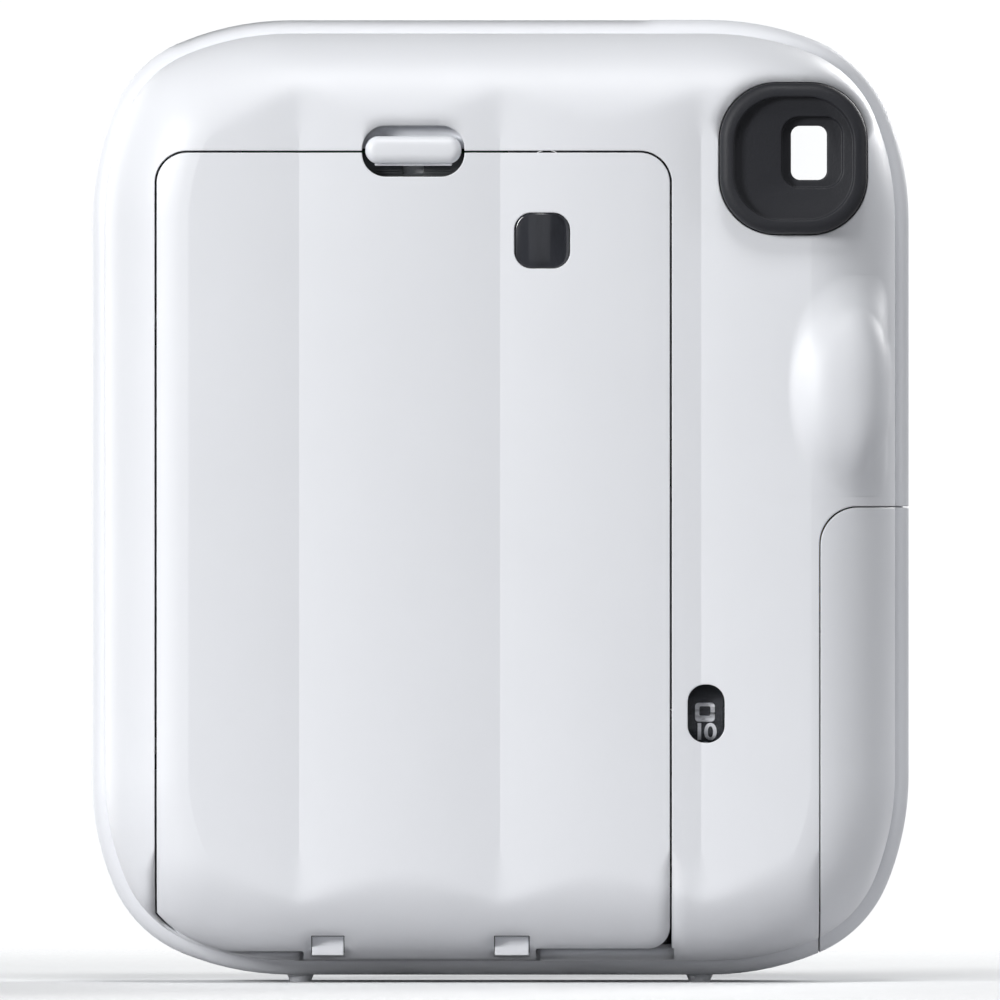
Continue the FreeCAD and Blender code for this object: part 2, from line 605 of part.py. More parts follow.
def make_exit_guide():
    """The black lined slot that the print leaves through, trimmed to the casing's top."""
    outer = box(SLOT_LEFT - 1, SLOT_RIGHT + 1, FILM_PLANE - SLOT_HALF - 1,
                FILM_PLANE + SLOT_HALF + 1, 106.6, 130)
    inner = box(SLOT_LEFT, SLOT_RIGHT, FILM_PLANE - SLOT_HALF, FILM_PLANE + SLOT_HALF, 100, 140)
    guide = outer.cut(inner).common(slab(0.25, SEAM, FRONT, 2.3, 0))
    return feature("print_exit_guide", guide)


make_exit_guide()


# ---------------------------------------------------------------- turned pieces (PartDesign)
def body_plane(body, role):
    """One of a body's own origin planes."""
    return [f for f in body.Origin.OriginFeatures if f.Role == role][0]


def amount(entry):
    """A number, or (alias, offset), as its value and as an expression."""
    if isinstance(entry, tuple):
        alias, offset = entry
        return dim(alias) + offset, f"dims.{alias} + ({offset})"
    return float(entry), None


def turned(label, profile, at):
    """A piece turned on a lathe: a closed profile of (radius, depth) points about the +Y line
    through at. A radius may be (alias, offset), and then follows the sheet."""
    body = doc.addObject("PartDesign::Body", label + "_body")
    sketch = body.newObject("Sketcher::SketchObject", label + "_profile")
    sketch.AttachmentSupport = [(body_plane(body, "XY_Plane"), "")]
    sketch.MapMode = "FlatFace"
    values = [(amount(r), amount(y)) for r, y in profile]
    count = len(values)
    for i in range(count):
        (r0, _), (y0, _) = values[i]
        (r1, _), (y1, _) = values[(i + 1) % count]
        sketch.addGeometry(Part.LineSegment(Vector(r0, y0, 0), Vector(r1, y1, 0)), False)
    Constraint = Sketcher.Constraint
    for i in range(count):
        sketch.addConstraint(Constraint("Coincident", i, 2, (i + 1) % count, 1))
    for i, ((r, r_rule), (y, y_rule)) in enumerate(values):
        if abs(r) < 1e-9:
            sketch.addConstraint(Constraint("PointOnObject", i, 1, -2))
        else:
            n = sketch.addConstraint(Constraint("DistanceX", -1, 1, i, 1, r))
            if r_rule:
                sketch.setExpression(f"Constraints[{n}]", r_rule)
        if abs(y) < 1e-9:
            sketch.addConstraint(Constraint("PointOnObject", i, 1, -1))
        else:
            sketch.addConstraint(Constraint("DistanceY", -1, 1, i, 1, y))
    spin = body.newObject("PartDesign::Revolution", label + "_turn")
    spin.Profile = sketch
    spin.ReferenceAxis = (sketch, ["V_Axis"])
    spin.Angle = 360.0
    body.Placement = Placement(Vector(at[0], 0, at[1]), Rotation())
    return body


LENS = (LENS_X, LENS_Z)
RING_TOP = 25.4


def make_lens():
    """Collar, twist ring, extending tube with its bezel, glass, mirror and shutter."""
    keep(
        turned("collar", [(24.6, 9.0), (("collar_radius", -0.05), 9.0), (("collar_radius", -0.05), 16.4),
                          (30.1, 17.0), (29.5, 17.0), (29.2, 16.7), (29.2, 10.2), (24.6, 10.2)], LENS),
        "lens_collar",
    )
    ring = turned("ring", [(24.5, 10.6), (28.0, 10.6), (28.0, 17.6), (("ring_radius", -0.9), 17.9),
                           (("ring_radius", -0.9), 24.4), (27.3, RING_TOP), (24.9, RING_TOP),
                           (24.5, 25.0)], LENS)
    groove = ring.newObject("Sketcher::SketchObject", "ring_rib_profile")
    groove.AttachmentSupport = [(body_plane(ring, "XZ_Plane"), "")]
    groove.MapMode = "FlatFace"
    groove.AttachmentOffset = Placement(Vector(0, 0, -18.4), Rotation())
    half, inner, outer = 0.75, dim("ring_radius") - 1.4, dim("ring_radius") - 0.1
    corners = [Vector(inner, -half, 0), Vector(outer, -half * 0.6, 0), Vector(outer, half * 0.6, 0),
               Vector(inner, half, 0)]
    for i in range(4):
        groove.addGeometry(Part.LineSegment(corners[i], corners[(i + 1) % 4]), False)
    for i in range(4):
        groove.addConstraint(Sketcher.Constraint("Coincident", i, 2, (i + 1) % 4, 1))
    rib = ring.newObject("PartDesign::Pad", "ring_rib")
    rib.Profile = groove
    rib.Length = 5.4
    rib.Reversed = True
    doc.recompute()
    pattern = ring.newObject("PartDesign::PolarPattern", "ring_ribs")
    pattern.Originals = [rib]
    pattern.Axis = (body_plane(ring, "Y_Axis"), [""])
    pattern.Angle = 360.0
    pattern.Occurrences = 48
    ring.Tip = pattern
    keep(ring, "lens_ring")
    keep(
        turned("tube", [(22.4, -1.0), (("tube_radius", 0), -1.0), (("tube_radius", 0), 30.4),
                        (23.2, 31.5), (10.2, 31.5), (10.2, 29.7), (22.4, 29.7)], LENS),
        "lens_tube",
    )
    bezel = turned("bezel", [(9.0, 31.5), (21.6, 31.5), (21.6, 32.6), (20.8, 33.3), (11.4, 33.3),
                             (9.0, 32.2)], LENS)
    mirror_at = (LENS_X + 16.3, LENS_Z)
    seat = doc.addObject("Part::Feature", "mirror_seat")
    seat.Shape = rounded(mirror_at[0], mirror_at[1], 6.4, 12.4, 2.6, 32.5, 34)
    keep(cut("bezel_with_seat", bezel, seat), "lens_bezel")
    feature("selfie_mirror", rounded(mirror_at[0], mirror_at[1], 6.2, 12.2, 2.5, 32.5, 33.1))
    glass = rod("front_glass_disc", "Y", "dims.glass_radius", 0.9, ("dims.lens_x", 30.6, "dims.lens_z"))
    keep(glass, "lens_front_glass")
    cell = tube("lens_cell_tube", "Y", 10.1, 8.0, 9.8, ("dims.lens_x", 20.8, "dims.lens_z"))
    rear_cell = tube("rear_cell_tube", "Y", 9.0, 7.05, 4.4, ("dims.lens_x", 13.6, "dims.lens_z"))
    keep(together("cells_group", cell, rear_cell), "lens_cells")
    elements = []
    for y, r in ((24.2, 7.95), (14.6, 7.0)):
        ball = Part.makeSphere(16.0, Vector(LENS_X, y + 3.6 - 16.0, LENS_Z))
        disc = cylinder(r, (LENS_X, y, LENS_Z), 5)
        elements.append(disc.common(ball))
    feature("lens_elements", Part.makeCompound(elements))
    plate = tube("shutter_plate_ring", "Y", 22.35, 5.0, 1.0, ("dims.lens_x", 18.0, "dims.lens_z"))
    pins = [rod(f"blade_pin_{i}", "Y", 0.8, 1.9, (f"dims.lens_x + {sx * 12}", 19.0, "dims.lens_z - 10"))
            for i, sx in enumerate((-1, 1))]
    pinned = fuse("shutter_plate_pinned", plate, *pins)
    stop = tube("aperture_ring", "Y", 10.0, 3.4, 0.6, ("dims.lens_x", 20.2, "dims.lens_z"))
    keep(together("shutter_group", pinned, stop), "shutter_plate")
    for label, sx, y in (("shutter_blade_left", -1, 19.1), ("shutter_blade_right", 1, 19.5)):
        pivot = Vector(LENS_X + sx * 12, y, LENS_Z - 10)
        arm = [Vector(LENS_X + sx * 13.4, y, LENS_Z - 9.4), Vector(LENS_X + sx * 6.4, y, LENS_Z + 6.2),
               Vector(LENS_X - sx * 0.6, y, LENS_Z + 6.2), Vector(LENS_X - sx * 0.6, y, LENS_Z - 6.2),
               Vector(LENS_X + sx * 11.2, y, LENS_Z - 11.6)]
        leaf = Part.Face(Part.makePolygon(arm + arm[:1])).extrude(Vector(0, 0.3, 0))
        leaf = leaf.fuse(cylinder(1.8, tuple(pivot), 0.3)).cut(cylinder(0.85, (pivot.x, y - 1, pivot.z), 3))
        feature(label, leaf.removeSplitter())


make_lens()


def make_exposure_cone():
    """The tapered black box between the picture gate and the lens."""
    y0, y1 = FILM_PLANE + 1.4, -1.3

    def rim(w, h, y):
        x, z = LENS_X - w / 2, 46.0 + (6.0 if y > -5 else 0.0) - h / 2
        pts = [Vector(x, y, z), Vector(x + w, y, z), Vector(x + w, y, z + h), Vector(x, y, z + h)]
        return Part.makePolygon(pts + pts[:1])

    outer = Part.makeLoft([rim(50, 66, y0), rim(43, 46, y1)], True, True)
    inner = Part.makeLoft([rim(47.4, 63.4, y0), rim(40.4, 43.4, y1)], True, True)
    feature("exposure_cone", outer.cut(inner))


make_exposure_cone()


# ---------------------------------------------------------------- viewfinder
EYE_BACK, TUNNEL_BACK = -23.5, -27.4


def make_viewfinder():
    """Black eyepiece, clear windows and the sight tunnel between them."""
    fx, fz, ax, az = dim("finder_x"), dim("finder_z"), dim("aperture_x"), dim("aperture_z")
    eye = rounded(fx, fz, 18.7, 19.2, 7.3, -dim("overall_half_depth"), EYE_BACK)
    rim = [e for e in eye.Edges if all(v.Y < -33.2 for v in e.Vertexes)]
    eye = eye.makeFillet(1.3, rim)
    eye = eye.cut(rounded(fx + 0.1, fz, 13.8, 14.4, 5.3, -40, -32.0))
    eye = eye.cut(rounded(ax, az, 7.2, 9.7, 1.9, -40, -31.1))
    eye = eye.cut(rounded(ax, az, 4.6, 7.5, 0.9, -40, -20))
    eye = eye.cut(rounded(ax, az, 8.4, 9.6, 1.0, -30.0, -20))
    eye = eye.cut(rounded(fx, fz, 16.4, 16.8, 5.5, TUNNEL_BACK, -20))
    feature("eyepiece", eye)
    feature("eyepiece_lens", rounded(ax, az, 8.3, 9.5, 0.95, -30.0, -28.9))
    tunnel = rounded(ax, az, 10.4, 10.4, 1.4, TUNNEL_BACK, 10.4)
    tunnel = tunnel.cut(rounded(ax, az, 8.6, 8.8, 1.0, -30, 12))
    feature("viewfinder_tunnel", tunnel)
    bezel = rounded(*FINDER_FRONT[:2], 12.7, 11.7, 3.85, 10.4, 15.0)
    bezel = bezel.cut(rounded(ax, az, 8.6, 8.8, 1.6, 5, 20)).cut(rounded(ax, az, 10.4, 9.6, 2.2, 14.0, 20))
    feature("viewfinder_bezel", bezel)
    feature("viewfinder_window", rounded(ax, az, 10.3, 9.5, 2.15, 14.0, 14.8).fuse(
        rounded(ax, az, 8.5, 8.7, 1.55, 13.2, 14.0)).removeSplitter())


make_viewfinder()


# ---------------------------------------------------------------- film counter
def make_counter():
    """Numbered drum on its axle behind a small dark window."""
    cx, cz, r = dim("counter_x"), dim("counter_z"), dim("counter_drum_radius")
    feature("counter_window", rounded(cx, cz, 4.6, 7.3, 2.15, -29.9, -28.8))
    y = -28.4 + r
    drum = rod("drum_outside", "X", "dims.counter_drum_radius", 4.7, (cx - 2.5, y, "dims.counter_z"))
    hole = rod("drum_bore", "X", 0.85, 7.0, (cx - 3.5, y, "dims.counter_z"))
    keep(cut("drum_bored", drum, hole), "film_counter_drum")
    keep(rod("counter_axle_rod", "X", 0.8, 7.4, (CH_RIGHT + 1.4, y, "dims.counter_z")), "counter_axle")
    return y


make_counter()


# ---------------------------------------------------------------- power
CELL_X, CELL_R, CELL_LOW = dim("cell_x"), dim("cell_radius"), dim("cell_bottom")
CELL_YS = (-19.7, -5.0)


def make_power():
    """Two AA cells side by side, their holder and contacts."""
    top = CELL_LOW + dim("cell_length")
    cells = []
    for i, (y, up) in enumerate(zip(CELL_YS, (True, False))):
        low = CELL_LOW if up else CELL_LOW + 1.2
        nub_z = top - 1.2 if up else CELL_LOW
        can = rod(f"cell_{i}_can", "Z", "dims.cell_radius", "dims.cell_length - 1.2", ("dims.cell_x", y, low))
        nub = rod(f"cell_{i}_nub", "Z", 2.7, 1.2, ("dims.cell_x", y, nub_z))
        cells.append(fuse(f"cell_{i}", can, nub))
    keep(together("cells_pair", *cells), "aa_cells")
    inside = slab(REAR_INSET + WALL + 0.5, HOLLOW_BACK + 0.5, 11.0, 9.6, 0)
    x0, x1 = CELL_X - CELL_R, CELL_X + CELL_R
    floor = box(x0 + 0.1, x1, -26.6, 3.2, CELL_LOW - 2.6, CELL_LOW - 1.6)
    lid = box(x0 + 0.1, x1, -26.6, 3.2, top + 0.9, top + 2.0)
    front = box(x0 + 0.1, x1, 2.4, 3.2, CELL_LOW - 1.6, top + 0.9)
    feature("battery_holder", floor.fuse(front).fuse(lid).common(inside).removeSplitter())
    contacts = [box(CELL_X - 4, CELL_X + 4, CELL_YS[0] - 4.5, CELL_YS[1] + 4.5, top, top + 0.9)]
    for y in CELL_YS:
        at = Vector(CELL_X, y, CELL_LOW - 1.6)
        contacts.append(Part.makeCone(4.2, 2.4, 1.6, at).cut(Part.makeCone(3.6, 1.8, 1.6, at)))
    feature("battery_contacts", Part.makeCompound(contacts))


make_power()


# ---------------------------------------------------------------- flash, sensor, boards
BOARD_FACE = 4.8


def make_electrics():
    """Flash with its reflector and capacitor, light sensor, circuit board and shutter switch."""
    feature("flash_window", rounded(FLASH_X, FLASH_Z, FLASH_W - 0.3, FLASH_H - 0.3, 4.35, 11.6, 14.0))
    outer = rounded(FLASH_X, FLASH_Z, 24.0, 11.0, 1.0, 4.6, 11.5)
    rows = []
    for y, h in ((5.4, 3.6), (11.6, 9.8)):
        pts = [Vector(FLASH_X - 11, y, FLASH_Z - h / 2), Vector(FLASH_X + 11, y, FLASH_Z - h / 2),
               Vector(FLASH_X + 11, y, FLASH_Z + h / 2), Vector(FLASH_X - 11, y, FLASH_Z + h / 2)]
        rows.append(Part.makePolygon(pts + pts[:1]))
    feature("flash_reflector", outer.cut(Part.makeLoft(rows, True, True)))
    keep(rod("flash_tube_rod", "X", 1.3, 20.0, (FLASH_X - 10, 7.2, FLASH_Z)), "flash_tube")
    keep(rod("capacitor_can", "X", 6.0, 34.0, (-40.0, 4.6, 15.2)), "flash_capacitor")
    keep(
        rod("sensor_window_disc", "Y", SENSOR_R - 0.1, 2.6, (SENSOR_X, 11.2, SENSOR_Z)),
        "light_sensor_window",
    )
    keep(rod("sensor_can", "Y", 1.7, 2.6, (SENSOR_X, 8.5, SENSOR_Z)), "light_sensor")
    flash_board = brick("flash_board", (34.0, 1.2, 15.0), (FLASH_X - 14, 3.2, FLASH_Z - 8))
    main_board = brick("main_board", (18.2, 1.2, 65.0), (26.8, BOARD_FACE - 1.2, 13.0))
    keep(together("boards_group", flash_board, main_board), "circuit_boards")
    chips = [(29, 37, 1.2, 44, 52), (39, 43, 0.9, 30, 36), (30, 34, 1.9, 22, 28), (38, 44, 1.1, 54, 58),
             (29, 32, 0.8, 34, 40)]
    blocks = [box(x0, x1, BOARD_FACE, BOARD_FACE + tall, z0, z1) for x0, x1, tall, z0, z1 in chips]
    sx, sz = dim("shutter_x"), dim("shutter_z")
    blocks.append(box(sx - 1.7, sx + 1.7, BOARD_FACE, BOARD_FACE + 1.7, sz - 1.7, sz + 1.7))
    feature("board_components", Part.makeCompound(blocks))


make_electrics()


# ---------------------------------------------------------------- shutter button, feet, strap bars
def make_controls():
    """Sprung shutter button, the four feet and the two strap bars."""
    at = (dim("shutter_x"), dim("shutter_z"))
    keep(
        turned("button", [(0, 8.1), (1.5, 8.1), (1.5, 8.9), (8.1, 8.9), (8.1, 9.9),
                          (("shutter_radius", 0), 9.9), (("shutter_radius", 0), 15.6),
                          (6.9, 16.3), (5.6, 16.7), (3.0, 16.45), (0, 16.35)], at),
        "shutter_button",
    )
    coil = Part.makeHelix(1.0, 2.0, 3.4)
    wire = Part.Wire(Part.makeCircle(0.3, coil.Vertexes[0].Point, Vector(0, 1, 0.07)))
    spring = Part.Wire(coil).makePipeShell([wire], True, True)
    spring.Placement = Placement(Vector(at[0], BOARD_FACE + 0.31, at[1]), Rotation(X_AXIS, -90))
    feature("shutter_spring", spring)
    feet = []
    for i, (x, y) in enumerate(((-25.4, -11.6), (25.4, -11.6), (-25.4, 0.6), (25.4, 0.6))):
        feet.append(bound("Part::Cone", f"foot_{i}", (x, y, 0), None, Radius1=1.3, Radius2=1.7,
                          Height="dims.foot_height"))
    keep(fuse("feet_group", *feet), "feet")
    bars = [rod(f"strap_bar_{i}", "Z", 0.9, 10.8, (f"{side} * (dims.body_width / 2 - 1.7)", STRAP_Y,
                                                   STRAP_Z - 5.4)) for i, side in enumerate((-1, 1))]
    keep(together("strap_bars_pair", *bars), "strap_bars")


make_controls()


doc.recompute()
for obj in sub_parts:
    print(f"{obj.Label:24s} {len(obj.Shape.Solids)} solids, {obj.Shape.Volume:9.1f} mm3")
failed = [o.Name for o in doc.Objects if {"Invalid", "Error"} & set(o.State)]
if failed:
    raise SystemExit(f"objects failed: {failed}")
bad = [o.Label for o in sub_parts if o.Shape.isNull() or not o.Shape.isValid() or not o.Shape.Solids]
if bad:
    raise SystemExit(f"sub-parts without a valid solid: {bad}")
os.makedirs("parts", exist_ok=True)
for obj in sub_parts:
    obj.Shape.exportStep(os.path.join("parts", obj.Label + ".step"))
print(len(sub_parts), "sub-parts written")
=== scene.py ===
# %% [markdown]
# # Instant camera
# A compact instant camera in cool white plastic, seen from behind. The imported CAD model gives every
# moving part its shape and place. This notebook adds the finishes, the softly shaped pieces that a
# mould would round off, and a plain studio. Everything is in metres; sizes below are written in
# millimetres and multiplied by MM.

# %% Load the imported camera
import json
import math

import bmesh
import bpy
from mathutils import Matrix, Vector


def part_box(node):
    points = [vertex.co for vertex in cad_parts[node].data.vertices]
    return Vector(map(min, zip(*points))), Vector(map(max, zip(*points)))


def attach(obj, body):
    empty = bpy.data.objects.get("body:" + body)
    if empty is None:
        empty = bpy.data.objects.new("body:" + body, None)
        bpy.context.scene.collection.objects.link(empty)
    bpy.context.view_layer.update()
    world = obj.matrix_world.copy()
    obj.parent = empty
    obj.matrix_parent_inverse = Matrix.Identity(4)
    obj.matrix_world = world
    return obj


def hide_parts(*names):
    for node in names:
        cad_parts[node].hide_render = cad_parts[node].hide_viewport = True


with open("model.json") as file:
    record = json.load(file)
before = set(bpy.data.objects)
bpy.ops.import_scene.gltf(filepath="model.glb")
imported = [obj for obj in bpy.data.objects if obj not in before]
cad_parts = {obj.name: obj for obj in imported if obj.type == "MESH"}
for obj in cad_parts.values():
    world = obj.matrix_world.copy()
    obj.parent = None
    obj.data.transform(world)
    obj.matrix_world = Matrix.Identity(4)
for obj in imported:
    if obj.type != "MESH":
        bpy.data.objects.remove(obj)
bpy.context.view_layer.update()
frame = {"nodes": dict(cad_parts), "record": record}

MM = 0.001
nodes = frame["nodes"]

# %% [markdown]
# ## Modelling helpers
# New pieces start from a primitive and are shaped with edit-mode operators and modifiers. An operator
# acts on all that is selected, and loading leaves the CAD nodes selected, so each helper first
# deselects everything. Faces and edges are picked by their place or direction.

# %% Helpers: selecting and applying
def only(piece):
    """Selects one object alone and makes it active."""
    bpy.ops.object.select_all(action="DESELECT")
    piece.select_set(True)
    bpy.context.view_layer.objects.active = piece


def settle(piece):
    """Puts the object's place and size into its mesh."""
    only(piece)
    bpy.ops.object.transform_apply(location=True, rotation=True, scale=True)


def apply_modifier(piece, kind, **settings):
    """Adds a modifier, sets it up and applies it."""
    only(piece)
    modifier = piece.modifiers.new(kind.lower(), kind)
    for key, value in settings.items():
        setattr(modifier, key, value)
    bpy.ops.object.modifier_apply(modifier=modifier.name)


def pick(piece, kind, test):
    """In edit mode, selects the faces or edges that pass a test."""
    bpy.ops.mesh.select_mode(type=kind)
    bpy.ops.mesh.select_all(action="DESELECT")
    mesh = bmesh.from_edit_mesh(piece.data)
    for item in mesh.faces if kind == "FACE" else mesh.edges:
        if test(item):
            item.select_set(True)
    bmesh.update_edit_mesh(piece.data)


def along(edge, axis):
    """True if an edge runs along an axis (0, 1 or 2)."""
    a, b = (v.co for v in edge.verts)
    return abs((b - a).normalized()[axis]) > 0.999


# %% Helpers: blocks, carving and softening
def rounded_block(name, spans, corner, rear_rim=0.0, front_rim=0.0, segments=10):
    """A block with rounded corners seen along Y. Spans are (x0, x1, y0, y1, z0, z1) in millimetres."""
    x0, x1, y0, y1, z0, z1 = (s * MM for s in spans)
    bpy.ops.object.select_all(action="DESELECT")
    bpy.ops.mesh.primitive_cube_add(size=1, location=((x0 + x1) / 2, (y0 + y1) / 2, (z0 + z1) / 2))
    piece = bpy.context.object
    piece.name = name
    piece.scale = (x1 - x0, y1 - y0, z1 - z0)
    settle(piece)
    bpy.ops.object.mode_set(mode="EDIT")
    if corner:
        pick(piece, "EDGE", lambda e: along(e, 1))
        bpy.ops.mesh.bevel(offset=corner * MM, segments=segments)
    for rim, y in ((rear_rim, y0), (front_rim, y1)):
        if rim:
            pick(piece, "EDGE", lambda e: all(abs(v.co.y - y) < 1e-7 for v in e.verts))
            bpy.ops.mesh.bevel(offset=rim * MM, segments=6)
    bpy.ops.object.mode_set(mode="OBJECT")
    return piece


def carve(piece, cutter):
    """Takes the cutter's shape out of a piece and removes the cutter."""
    apply_modifier(piece, "BOOLEAN", object=cutter, operation="DIFFERENCE", solver="EXACT")
    bpy.data.objects.remove(cutter)


def weld_on(piece, other):
    """Makes two pieces one solid."""
    apply_modifier(piece, "BOOLEAN", object=other, operation="UNION", solver="EXACT")
    bpy.data.objects.remove(other)


def soften(piece, width, segments=2, angle=32):
    """Rounds every sharp edge a little and shades the rest smooth."""
    apply_modifier(piece, "BEVEL", width=width * MM, segments=segments, limit_method="ANGLE",
                   angle_limit=math.radians(angle))
    only(piece)
    bpy.ops.object.shade_smooth_by_angle(angle=math.radians(40))


def join(first, *others):
    """Joins loose shells into one object."""
    bpy.ops.object.select_all(action="DESELECT")
    for piece in (first, *others):
        piece.select_set(True)
    bpy.context.view_layer.objects.active = first
    bpy.ops.object.join()
    return first


def fit(piece, body, slot, finish, *replaced):
    """Gives a finished piece its finish and body, and hides the CAD nodes it stands for. slot is not
    used.
    """
    piece.data.materials.clear()
    piece.data.materials.append(finish)
    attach(piece, body)
    if replaced:
        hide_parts(*replaced)
    print(piece.name, len(piece.data.polygons), "faces on", body)
    return piece


# %% [markdown]
# ## Camera
# The camera looks straight at the back from far away, so that nearer and farther parts keep nearly
# the same scale. A very long lens five metres away does that. The camera's height puts the feet
# just above the lower edge.

# %% Camera
VIEW_DISTANCE = 5.0
FRAME_WIDTH = 127.2 * MM
SENSOR_WIDTH = 36.0
VIEW_HEIGHT = 61.3 * MM
SCALE_PLANE = -16.0 * MM

bpy.ops.object.camera_add(
    location=(0, SCALE_PLANE - VIEW_DISTANCE, VIEW_HEIGHT), rotation=(math.pi / 2, 0, 0)
)
camera = bpy.context.object
camera.name = "picture_camera"
camera.data.sensor_width = SENSOR_WIDTH
camera.data.lens = SENSOR_WIDTH * VIEW_DISTANCE / FRAME_WIDTH
camera.data.clip_end = 20
bpy.context.scene.camera = camera
print("lens", round(camera.data.lens), "mm")

# %% [markdown]
# ## Studio
# The object is white on white, so the light does the drawing: a soft light from the upper left
# shapes the upright cushions, one from above lifts the top edge, and two weak ones keep the shaded
# side open. Two more light the front, which only other views see. The floor is a pale disc that
# fades out at its rim into the white surroundings. Both are pale to the eye but send back less
# light than they show, as a studio's black cards would, so that the shaded side keeps its shape.

# %% Lights
def soft_light(name, place, size, power, colour=(1, 1, 1)):
    """A square area light that looks at the middle of the camera."""
    bpy.ops.object.light_add(type="AREA", location=place)
    lamp = bpy.context.object
    lamp.name = name
    lamp.data.size = size
    lamp.data.energy = power
    lamp.data.color = colour
    aim = Vector((0, -0.01, 0.062)) - lamp.location
    lamp.rotation_euler = aim.to_track_quat("-Z", "Y").to_euler()
    return lamp


soft_light("key_left", (-0.76, -0.70, 0.33), 0.30, 8.9)
soft_light("key_above", (0.05, -0.46, 0.95), 0.30, 3.6)
soft_light("fill_behind", (-0.10, -1.3, 0.30), 0.7, 0.5, (0.97, 0.98, 1.0))
soft_light("fill_right", (0.85, -0.25, 0.20), 0.5, 1.6, (0.97, 0.98, 1.0))
soft_light("far_key", (0.55, 0.75, 0.5), 0.5, 7.5)
soft_light("far_fill", (-0.6, 0.7, 0.2), 0.6, 3.0)
print("6 soft lights")

# %% White surroundings
SURROUND_SEEN = 1.05
SURROUND_LIGHT = 0.07

world = bpy.data.worlds.new("white_studio")
bpy.context.scene.world = world
world.use_nodes = True
air = world.node_tree
background = air.nodes["Background"]
background.inputs["Color"].default_value = (0.98, 0.99, 1.0, 1)
path = air.nodes.new("ShaderNodeLightPath")
level = air.nodes.new("ShaderNodeMapRange")
level.inputs["To Min"].default_value = SURROUND_LIGHT
level.inputs["To Max"].default_value = SURROUND_SEEN
air.links.new(path.outputs["Is Camera Ray"], level.inputs["Value"])
air.links.new(level.outputs["Result"], background.inputs["Strength"])
bpy.context.scene.view_settings.view_transform = "Standard"
print("surroundings ready")


# %% Floor
FLOOR_RADIUS = 0.6


def floor_finish():
    """Matt white, darker to the light it throws back, that fades out towards the disc's rim."""
    finish = bpy.data.materials.new("studio_floor")
    finish.use_nodes = True
    tree = finish.node_tree
    shader = tree.nodes["Principled BSDF"]
    shader.inputs["Roughness"].default_value = 0.6
    ray = tree.nodes.new("ShaderNodeLightPath")
    tone = tree.nodes.new("ShaderNodeMix")
    tone.data_type = "RGBA"
    tone.inputs["A"].default_value = (0.42, 0.42, 0.43, 1)
    tone.inputs["B"].default_value = (0.95, 0.96, 0.97, 1)
    tree.links.new(ray.outputs["Is Camera Ray"], tone.inputs["Factor"])
    tree.links.new(tone.outputs["Result"], shader.inputs["Base Color"])
    place = tree.nodes.new("ShaderNodeTexCoord")
    distance = tree.nodes.new("ShaderNodeVectorMath")
    distance.operation = "LENGTH"
    fade = tree.nodes.new("ShaderNodeMapRange")
    fade.interpolation_type = "SMOOTHSTEP"
    fade.inputs["From Min"].default_value = 0.10
    fade.inputs["From Max"].default_value = 0.45
    fade.inputs["To Min"].default_value = 1.0
    fade.inputs["To Max"].default_value = 0.0
    tree.links.new(place.outputs["Object"], distance.inputs[0])
    tree.links.new(distance.outputs["Value"], fade.inputs["Value"])
    tree.links.new(fade.outputs["Result"], shader.inputs["Alpha"])
    return finish


bpy.ops.object.select_all(action="DESELECT")
bpy.ops.mesh.primitive_circle_add(vertices=96, radius=FLOOR_RADIUS, fill_type="NGON")
floor = bpy.context.object
floor.name = "studio_floor"
floor.data.materials.append(floor_finish())
print("floor", FLOOR_RADIUS * 2, "m across")


# %% [markdown]
# ## Finishes
# Most of the camera is injection-moulded plastic. The moulds are spark-eroded, which leaves a very
# fine grain, and no moulded edge is perfectly sharp. So one function makes all the plastics: a slow
# cloudiness in the colour, a fine grain in the relief, uneven gloss, and a Bevel node that rounds the
# edges in the shading. Where the cushions meet the rolled top and foot the mould is blended broadly,
# so the covers' rounding grows there. Patterns read Object coordinates, the camera's own metres.

# %% Finish helpers
def new_finish(name):
    """A material with its tree, its shader and an Object-coordinate source."""
    finish = bpy.data.materials.new(name)
    finish.use_nodes = True
    tree = finish.node_tree
    return finish, tree, tree.nodes["Principled BSDF"], tree.nodes.new("ShaderNodeTexCoord")


def noise(tree, place, size, detail=2.0, rough=0.5, stretch=None):
    """Noise whose features are about size millimetres, optionally stretched per axis."""
    node = tree.nodes.new("ShaderNodeTexNoise")
    node.inputs["Scale"].default_value = 1 / (size * MM)
    node.inputs["Detail"].default_value = detail
    node.inputs["Roughness"].default_value = rough
    source = place.outputs["Object"]
    if stretch:
        mapping = tree.nodes.new("ShaderNodeMapping")
        mapping.inputs["Scale"].default_value = stretch
        tree.links.new(source, mapping.inputs["Vector"])
        source = mapping.outputs["Vector"]
    tree.links.new(source, node.inputs["Vector"])
    return node


def spread(tree, source, low, high, start=0.3, end=0.7):
    """Maps a 0 to 1 value onto a range."""
    node = tree.nodes.new("ShaderNodeMapRange")
    for key, value in (("From Min", start), ("From Max", end), ("To Min", low), ("To Max", high)):
        node.inputs[key].default_value = value
    tree.links.new(source, node.inputs["Value"])
    return node.outputs["Result"]


def two_tone(tree, factor, first, second):
    """A colour that runs between two as a factor goes from 0 to 1."""
    node = tree.nodes.new("ShaderNodeMix")
    node.data_type = "RGBA"
    node.inputs["A"].default_value = (*first, 1)
    node.inputs["B"].default_value = (*second, 1)
    tree.links.new(factor, node.inputs["Factor"])
    return node.outputs["Result"]


